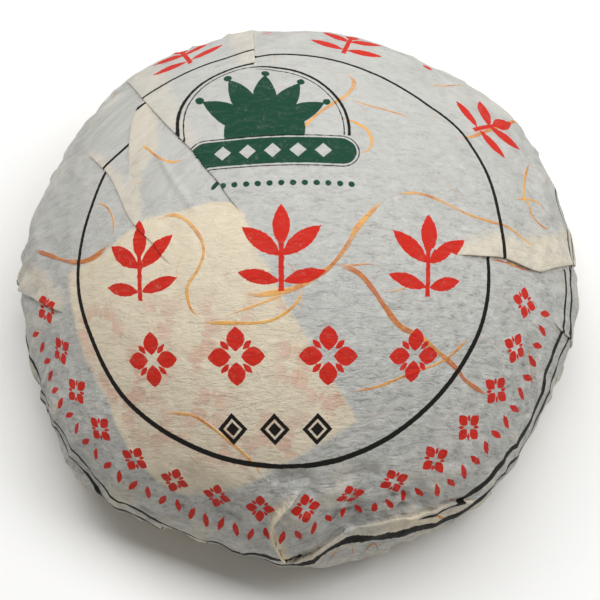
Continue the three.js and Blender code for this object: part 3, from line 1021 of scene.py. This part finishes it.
def scattered_fibres(count, seed):
    """Lines of short steps that turn a little at random, spread evenly over the skin's area."""
    draw = np.random.default_rng(seed)
    arc = ARC_STANDING[1] * np.sqrt(draw.uniform(0, 1, count))
    start = flat(draw.uniform(-180, 180, count), arc)
    heading = draw.uniform(0, 2 * np.pi, count)
    bend = draw.normal(0, 0.13, count)
    length = draw.uniform(3, 9, count)
    width = draw.uniform(0.09, 0.16, count)
    gold = draw.uniform(0.08, 0.34, count)
    fibres = []
    for number in range(count):
        steps = max(3, round(length[number] / FINE_STEP))
        turns = heading[number] + np.cumsum(draw.normal(bend[number], 0.2, steps))
        line = start[number] + FINE_STEP * np.cumsum(np.column_stack([np.cos(turns), np.sin(turns)]), axis=0)
        if np.hypot(*line.T).max() < ARC_STANDING[1]:
            fibres.append((width[number], gold[number], gold[number], line))
    return fibres


pale_fibres = fibre_strips("pale_fibres", scattered_fibres(300, 41), 42)


# %% [markdown]
# ## Shader maths as expressions
#
# The print is a set of shapes on the flat sheet, and each is a signed distance: positive inside the
# shape, in millimetres. Written as Python expressions such distances stay readable, so one small
# class stands for a varying number and adds a Math node for each operator.

# %% A varying number, and a material to hold it
DEGREE = math.pi / 180


def operator(operation, reflected=False):
    """A Python operator that adds a Math node. A reflected one has its inputs the other way round."""
    def apply(self, *others):
        inputs = (*others, self) if reflected else (self, *others)
        return self.paint.math(operation, *inputs)
    return apply


class Amount:
    """A number that varies over the surface: one socket, with Python's operators on it."""

    def __init__(self, paint, socket):
        self.paint, self.socket = paint, socket

    __add__, __radd__ = operator("ADD"), operator("ADD", True)
    __sub__, __rsub__ = operator("SUBTRACT"), operator("SUBTRACT", True)
    __mul__, __rmul__ = operator("MULTIPLY"), operator("MULTIPLY", True)
    __truediv__, __abs__ = operator("DIVIDE"), operator("ABSOLUTE")
    most, least, rounded = operator("MAXIMUM"), operator("MINIMUM"), operator("ROUND")
    sine, cosine = operator("SINE"), operator("COSINE")

    def __neg__(self):
        return self * -1.0

    def kept_in(self, lowest, highest):
        return self.most(lowest).least(highest)

    def faded(self, slope, start):
        """A straight fade: slope x the number + start, kept between 0 and 1."""
        return self.paint.math("MULTIPLY_ADD", self, slope, start, clamp=True)

    def from_nearest(self, step, first, last):
        """How far it lies from the nearest place of a row: step x a whole number from first to last."""
        return self - (self / step).rounded().kept_in(first, last) * step


class Paint:
    """A material, with one method that adds any node: its settings first, then its inputs."""

    def __init__(self, name):
        self.material = bpy.data.materials.new(name)
        self.material.use_nodes = True
        self.tree = self.material.node_tree
        self.shader = self.tree.nodes["Principled BSDF"]

    def feed(self, socket, value):
        if isinstance(value, Amount):
            self.tree.links.new(value.socket, socket)
        else:
            socket.default_value = value

    def node(self, kind, settings=(), inputs=(), output=0):
        node = self.tree.nodes.new("ShaderNode" + kind)
        for name, value in dict(settings).items():
            setattr(node, name, value)
        for name, value in dict(inputs).items():
            self.feed(node.inputs[name], value)
        return Amount(self, node.outputs[output])

    def math(self, operation, *values, clamp=False):
        return self.node("Math", {"operation": operation, "use_clamp": clamp}, enumerate(values))

    def length(self, across, up):
        """Distance from the middle of two offsets: the root of the sum of their squares."""
        return self.math("SQRT", across * across + up * up)

    def turn(self, across, up):
        """Azimuth of two offsets in degrees."""
        return self.math("ARCTAN2", up, across) * (1 / DEGREE)

    def mix(self, share, first, second):
        return self.node("Mix", {"data_type": "RGBA"}, {"Factor": share, "A": first, "B": second}, "Result")

    def noise(self, vector, scale, detail=2.0, roughness=0.5, distortion=0.0):
        inputs = {
            "Vector": vector, "Scale": scale, "Detail": detail, "Roughness": roughness,
            "Distortion": distortion,
        }
        return self.node("TexNoise", {}, inputs, "Fac")

    def stretched(self, vector, stretch, degrees):
        inputs = {"Vector": vector, "Scale": stretch, "Rotation": (0, 0, degrees * DEGREE)}
        return self.node("Mapping", {"vector_type": "POINT"}, inputs)


def colour(red, green, blue):
    """A screen colour, 0 to 255, as the linear values that a shader wants."""
    screen = np.array([red, green, blue]) / 255
    linear = np.where(screen <= 0.04045, screen / 12.92, ((screen + 0.055) / 1.055) ** 2.4)
    return (*linear.tolist(), 1.0)


print("photo's red as linear values:", np.round(colour(212, 52, 38), 3))

# %% [markdown]
# ## The print
#
# A sheet like this is printed in red, black and green before it is folded. The print here is plain
# ornament: tea sprigs, four-petalled blossoms, lozenges and a fan of leaves. An image would blur when
# seen close, so each is a formula, and rows are made by folding the plane: rounding a coordinate to
# the nearest place in the row brings every copy onto one. The ring and the two border lines are
# distances from a circle.

# %% Ornament as signed distances
DIAGONAL = math.sqrt(0.5)


def leaf(x, y, length, width):
    """Positive between two parabolas: half the width x (1 - (2x / length)^2) - |y|."""
    share = x * (2 / length)
    return width / 2 - share * share * (width / 2) - abs(y)


def turned(x, y, degrees):
    """The plane turned clockwise, so that a shape appears turned counter-clockwise."""
    c, s = math.cos(degrees * DEGREE), math.sin(degrees * DEGREE)
    return x * c + y * s, y * c - x * s


def sprig(x, y):
    """A tea sprig about 11 mm high: a bud, two pairs of leaves and a stem, alike left and right."""
    side = abs(x)
    shape = leaf(y - 2.9, x, 5.8, 2.3)
    for below, degrees, outwards, length, width in ((1.2, 38, 3.3, 6.6, 2.3), (4.6, 14, 3.1, 5.8, 1.9)):
        along, across = turned(side, y + below, degrees)
        shape = shape.most(leaf(along - outwards, across, length, width))
    return shape.most((0.36 - side).least(5.6 - abs(y + 0.2)))


def blossom(x, y):
    """Four petals and a middle: the plane is folded twice, so one petal makes all four."""
    wide, narrow = abs(x).most(abs(y)), abs(x).least(abs(y))
    petal = leaf(wide - 2.35, narrow, 3.3, 2.5)
    tips = leaf((wide + narrow) * DIAGONAL - 2.2, (wide - narrow) * DIAGONAL, 1.7, 0.8)
    return petal.most(tips)


def lozenge(x, y):
    """Width along x plus width along y under a limit, with a thin line cut out of it."""
    reach = abs(x) + abs(y) * 0.85
    return (2.2 - reach).least(abs(reach - 1.2) - 0.22)


def ring_line(distance, radius, width):
    """A line of some width round a circle."""
    return width / 2 - abs(distance - radius)


def joined(inside_ring, outside_ring, on_rim):
    """One value inside the ring and another on the rim."""
    return inside_ring + (outside_ring - inside_ring) * on_rim


# %% Where the ornament stands on the sheet, in mm and degrees
RIM_BEGINS = 34.0
SPRIG_STEP, SPRIG_LEVEL = 20.0, -1.0
RIM_SPRIG_MIDDLE, RIM_SPRIG_STEP, RIM_SPRIG_RADIUS = 75.0, 38.0, 40.6
BLOSSOM_PLACES, BLOSSOM_LEVEL = (12.5, 6.25), -15.2
SMALL_BLOSSOM_FIRST, SMALL_BLOSSOM_STEP, SMALL_BLOSSOM_RADIUS, SMALLER = -173.0, 11.0, 39.2, 1.6
SMALL_LEAF_FIRST, SMALL_LEAF_STEP, SMALL_LEAF_RADIUS = -170.0, 3.6, 44.3
DOT_AZIMUTH, DOT_SPREAD, DOT_RADIUS = 75.5, 18.5, 43.0
LOZENGE_STEP, LOZENGE_LEVEL = 6.2, -25.8
BAR_LEVEL, BAR_MIDDLE = 13.0, -1.2
FAN_LEVEL, FAN_MIDDLE, FAN_STEP = 16.6, -2.4, 30.0
SMALL_DOT_LEVEL, SMALL_DOT_STEP = 7.9, 1.55
BORDERS_APART = 3.2


# %% The printed sheet
def red_shapes(paint, x, y, distance, azimuth):
    """Sprigs and blossoms inside the ring and on the rim, a row of small leaves and two dots."""
    on_rim = paint.math("GREATER_THAN", distance, RIM_BEGINS)

    # three large sprigs across the middle and three on the back of the rim share one shape
    row_x = x.from_nearest(SPRIG_STEP, -1.0, 1.0)
    lean = (azimuth - RIM_SPRIG_MIDDLE).from_nearest(RIM_SPRIG_STEP, -1.0, 1.0) * DEGREE
    rim_x = distance * lean.sine() * -1.0
    rim_y = distance * lean.cosine() - RIM_SPRIG_RADIUS
    sprigs = sprig(joined(row_x, rim_x, on_rim), joined(y - SPRIG_LEVEL, rim_y, on_rim))

    # four blossoms below them and sixteen small ones on the front of the rim
    row_x = abs(abs(x) - BLOSSOM_PLACES[0]) - BLOSSOM_PLACES[1]
    lean = (azimuth - SMALL_BLOSSOM_FIRST).from_nearest(SMALL_BLOSSOM_STEP, 0.0, 15.0) * -DEGREE
    rim_x = distance * lean.sine() * SMALLER
    rim_y = (distance * lean.cosine() - SMALL_BLOSSOM_RADIUS) * SMALLER
    blossoms = blossom(joined(row_x, rim_x, on_rim), joined(y - BLOSSOM_LEVEL, rim_y, on_rim))

    # a row of small leaves that lean in turn, just outside the small blossoms
    step = (azimuth - SMALL_LEAF_FIRST) / SMALL_LEAF_STEP
    nearest = step.rounded().kept_in(0.0, 45.0)
    outwards = distance - SMALL_LEAF_RADIUS
    beside = (step - nearest) * (SMALL_LEAF_STEP * DEGREE * SMALL_LEAF_RADIUS)
    lean_way = paint.math("FLOORED_MODULO", nearest, 2.0) * 2.0 - 1.0
    leaves = leaf(outwards, beside - outwards * lean_way * 0.25, 2.8, 1.1)

    # two dots between the sprigs on the rim
    beside = (abs(azimuth - DOT_AZIMUTH) - DOT_SPREAD) * (DOT_RADIUS * DEGREE * 0.97)
    dots = 0.8 - paint.length(beside, distance - DOT_RADIUS)
    return sprigs.most(blossoms).most(leaves).most(dots)


def border_lines(distance, azimuth, wobble):
    """Two lines round the rim: broad in front, and the inner one hidden under the front fold."""
    broad = abs(azimuth + 73.0).faded(-0.035, 1.2)
    hidden = abs(azimuth + 73.0).faded(-0.12, 1.8)
    thick = abs(azimuth + 97.0).faded(-0.15, 1.3)
    right_front = abs(azimuth + 36.0).faded(-0.035, 1.3)
    inner_radius = BORDER_RADIUS - BORDERS_APART - right_front * 1.2
    inner = 0.4 - hidden * 1.4 + thick * 0.5 + right_front * 0.3 - abs(distance - inner_radius)
    outer = 0.48 + broad * 0.85 + wobble * broad * 2.5 + right_front * 0.15
    return inner.most(outer - abs(distance - BORDER_RADIUS))


def fan_and_bar(paint, x, y):
    """A fan of five leaves over a bar with five cut lozenges and a row of dots: green and black shapes."""
    fan_x, fan_y = x - FAN_MIDDLE, y - FAN_LEVEL
    fan_distance = paint.length(fan_x, fan_y)
    fan_turn = (paint.turn(fan_x, fan_y) - 90.0).from_nearest(FAN_STEP, -2.0, 2.0) * DEGREE
    fan_side = fan_distance * fan_turn.sine()
    blades = leaf(fan_distance * fan_turn.cosine() - 4.9, fan_side, 9.4, 3.4)
    blades = blades.most(5.6 - fan_distance).least(fan_y + 1.3)
    beads = (0.55 - paint.length(fan_side, fan_distance - 9.9)).least(fan_y)
    hem = ring_line(fan_distance, 11.6, 0.42).most(ring_line(fan_distance, 10.9, 0.16)).least(fan_y + 1.0)
    bar_x, bar_y = x - BAR_MIDDLE, y - BAR_LEVEL
    bar = 2.1 - paint.length((abs(bar_x) - 9.2).most(0.0), bar_y)
    cut = 1.15 - abs(bar_x.from_nearest(3.4, -2.0, 2.0)) - abs(bar_y)
    small_dots = 0.42 - paint.length(x.from_nearest(SMALL_DOT_STEP, -6.0, 6.0), y - SMALL_DOT_LEVEL)
    green = blades.most(beads).most(bar.least(-cut)).most(small_dots)
    return green, hem.least(-bar).most(ring_line(bar, -0.35, 0.16))


INK_EDGE = 0.09  # mm over which ink fades out


def inked(distance, soft=INK_EDGE):
    """Share of ink for a signed distance: 0 outside, 1 inside, across a soft edge."""
    return distance.faded(1 / soft, 0.5)


def print_on(paint, sheet, x, y, distance):
    """Shares of red, black and green ink over the sheet."""
    azimuth = paint.turn(x, y)
    wobble = (paint.noise(sheet, 1.6, 3.0) - 0.5) * 0.36
    red = red_shapes(paint, x, y, distance, azimuth)
    green, fan_lines = fan_and_bar(paint, x, y)
    lozenges = lozenge((x - BAR_MIDDLE).from_nearest(LOZENGE_STEP, -1.0, 1.0), y - LOZENGE_LEVEL)
    ring = 0.34 - y * 0.0032 - abs(distance - RING_RADIUS)
    black = lozenges.most(fan_lines).most(ring).most(border_lines(distance, azimuth, wobble))
    return inked(red + wobble), inked(black + wobble * 0.5), inked(green + wobble * 0.5)


# %% [markdown]
# ## Thin long-fibred paper
#
# Grey where single and cream where double, the sheet has fine streaks of fibre, cloudy thin places
# and specks. Ink doesn't cover it evenly. Paper is matt, so there is no gloss to model, only a slight
# relief in the normals that is finer than the mesh.

# %% The paper
GREY_PAPER, CREAM_PAPER = colour(188, 188, 184), colour(221, 209, 186)
# the brown also colours the strip of painted shadow along the right fold
GOLD_FIBRE, BROWN_FIBRE = colour(230, 170, 82), colour(186, 96, 28)
PINK_GHOST = colour(204, 128, 112)
RED_INK, BLACK_INK, GREEN_INK = colour(202, 36, 20), colour(15, 14, 10), colour(11, 64, 46)


def pulp_hairs(paint, sheet, stretch, degrees, scale, begins):
    """Short thin lines: near the middle value of one noise, where another is over a limit."""
    middle = paint.noise(paint.stretched(sheet, stretch, degrees), scale, 2.5, 0.55, 1.6)
    present = paint.noise(sheet, scale * 0.8, 2.0).faded(9.0, -9.0 * begins)
    return abs(middle - 0.5).faded(-26.0, 1.0) * present


def ghost_print(paint, sheet, x, y, distance, layers_and_shade):
    """Share of pink where the inner layer's print shows through, in the middle of the double paper."""
    along, across = turned(x, y, -62)
    ghost = blossom(along.from_nearest(7.5, -9.0, 9.0), across.from_nearest(6.6, -9.0, 9.0))
    seen = paint.noise(sheet, 0.12, 1.0).faded(6.0, -2.3)
    near = distance.faded(-0.2, 7.6) * y.faded(-0.3, -1.5)
    return inked(ghost, 0.4) * layers_and_shade.faded(6.0, -4.8) * seen * near * 0.34


def paper_paint():
    """Paper colour from the layers and the fibre, flecks over it, then the inks."""
    paint = Paint("thin_paper")
    square = paint.node("UVMap", {"uv_map": "sheet"})
    side, middle = (SHEET_SIDE, SHEET_SIDE, 0), (-SHEET_SIDE / 2, -SHEET_SIDE / 2, 0)
    sheet = paint.node("VectorMath", {"operation": "MULTIPLY_ADD"}, {0: square, 1: side, 2: middle})
    x, y = (paint.node("SeparateXYZ", {}, {0: sheet}, axis) for axis in "XY")
    distance = paint.length(x, y)
    layers_and_shade, golden, brown = (
        paint.node("Attribute", {"attribute_name": name}, {}, "Fac") for name in ("layers_and_shade", "golden", "brown")
    )
    plain = paint.mix(layers_and_shade, GREY_PAPER, CREAM_PAPER)
    plain = paint.mix(ghost_print(paint, sheet, x, y, distance, layers_and_shade), plain, PINK_GHOST)

    # fibres in the pulp: lines where a noise passes its middle, broken up by a second noise
    wisps = paint.noise(paint.stretched(sheet, (0.5, 1.4, 1), 6), 1.0, 5.0, 0.66, 1.0)
    cross_wisps = paint.noise(paint.stretched(sheet, (0.5, 1.4, 1), 64), 0.8, 4.0, 0.62, 0.8)
    smudges, gleams = wisps.faded(-14.0, 6.3), wisps.faded(14.0, -7.9)
    dark_hairs = pulp_hairs(paint, sheet, (0.62, 1.25, 1), 4, 0.75, 0.5)
    more_dark_hairs = pulp_hairs(paint, sheet, (0.8, 1.5, 1), -38, 0.9, 0.53)
    pale_hairs = pulp_hairs(paint, sheet, (1.3, 0.6, 1), 22, 0.7, 0.52)
    mottle = paint.noise(sheet, 0.62, 3.0, 0.6)
    clouds = paint.noise(sheet, 0.21, 4.0, 0.55)

    # they show most in front, where the paper lies on the tea in one layer
    worn = (x * 0.003 - y * 0.018 + 0.72).kept_in(0.35, 1.05)
    on_tea = worn * (1.0 - layers_and_shade * 0.6)
    rim = distance.faded(0.09, -2.9)
    shade = 1.0 + (wisps - 0.5) * 0.4 * on_tea + (cross_wisps - 0.5) * 0.3 * on_tea
    shade = shade + (gleams * 0.09 - smudges * 0.2) * on_tea
    shade = shade + (clouds - 0.5) * (0.22 + rim * 0.42) + (mottle - 0.5) * 0.36 * on_tea
    # values below 0 darken the paper: painted shade in the crumples' valleys and on the front rim, and a grey
    # patch
    shade = shade + layers_and_shade.least(0.0) * 0.3
    shade = shade - (dark_hairs + more_dark_hairs) * 0.26 * on_tea + pale_hairs * 0.12
    grey = paint.node("CombineXYZ", {}, {0: shade, 1: shade, 2: shade})
    plain = paint.node("VectorMath", {"operation": "MULTIPLY"}, {0: plain, 1: grey})

    tone = (brown + (clouds - 0.5) * 3.0 + (wisps - 0.5) * 2.6).kept_in(0.0, 1.0)
    plain = paint.mix((golden * 1.45).kept_in(0.0, 0.92), plain, paint.mix(tone, GOLD_FIBRE, BROWN_FIBRE))

    red, black, green = print_on(paint, sheet, x, y, distance)
    cover = (1.0 + (wisps - 0.5) * 0.3 - pale_hairs * 0.12).least(1.0)
    inked_paper = paint.mix(green * cover, plain, GREEN_INK)
    inked_paper = paint.mix(red * cover, inked_paper, RED_INK)
    paint.feed(paint.shader.inputs["Base Color"], paint.mix(black, inked_paper, BLACK_INK))
    paint.shader.inputs["Roughness"].default_value = 0.8
    paint.shader.inputs["Specular IOR Level"].default_value = 0.3

    # crinkles are bowls round scattered points, which meet in straight creases
    scattered = {"Vector": sheet, "Scale": 0.34}
    crinkles = paint.node("TexVoronoi", {"voronoi_dimensions": "2D"}, scattered, "Distance")
    relief = wisps * 0.9 + cross_wisps * 0.4 - dark_hairs * 0.12 + pale_hairs * 0.15
    relief = relief * worn + mottle * 0.5 * worn + crinkles * (0.35 + rim * 1.4)
    bump = paint.node("Bump", {}, {"Strength": 0.7, "Distance": 0.0003, "Height": relief})
    paint.feed(paint.shader.inputs["Normal"], bump)
    return paint.material


thin_paper = paper_paint()
print("nodes in the paper:", len(thin_paper.node_tree.nodes))

# %% Finishes and bodies
for piece in [wrapper_skin, *folds, golden_fibres_and_shadow_strip, pale_fibres]:
    piece.data.materials.append(thin_paper)
    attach(piece, "root")
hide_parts("wrapped_tuocha")


# %% Floor and light
FLOOR_CORNERS = [(-2, -2, 0), (2, -2, 0), (2, 2, 0), (-2, 2, 0)]  # metres
FLOOR_PAINT = (0.9, 0.9, 0.89, 1)
WINDOW_PLACE, WINDOW_POWER, WINDOW_SIZE = (0.1, 0.27, 0.78), 9.5, (1.35, 0.34)  # metres and watts
WINDOW_TINT = (0.985, 0.99, 1.0)
LIT_PLACE = (0, 0, 0.02)
ROOM_TINT, ROOM_STRENGTH = (1, 0.955, 0.87, 1), 0.21

floor_mesh = bpy.data.meshes.new("pale_floor")
floor_mesh.from_pydata(FLOOR_CORNERS, [], [(0, 1, 2, 3)])
floor = placed("pale_floor", floor_mesh)
floor_paint = Paint("floor_paint")
floor_paint.shader.inputs["Base Color"].default_value = FLOOR_PAINT
floor_paint.shader.inputs["Roughness"].default_value = 0.9
floor.data.materials.append(floor_paint.material)

window_light = bpy.data.lights.new("window_light", "AREA")
window_light.shape = "RECTANGLE"
window_light.energy, window_light.color = WINDOW_POWER, WINDOW_TINT
window_light.size, window_light.size_y = WINDOW_SIZE
lamp = placed("window_light", window_light)
lamp.location = WINDOW_PLACE
lamp.rotation_euler = (Vector(LIT_PLACE) - Vector(WINDOW_PLACE)).to_track_quat("-Z", "Y").to_euler()

world = bpy.data.worlds.new("pale_room")
world.use_nodes = True
world.node_tree.nodes["Background"].inputs["Color"].default_value = ROOM_TINT
world.node_tree.nodes["Background"].inputs["Strength"].default_value = ROOM_STRENGTH
bpy.context.scene.world = world
bpy.context.scene.view_settings.view_transform = "Standard"
print("lights:", lamp.name, "over", floor.name)
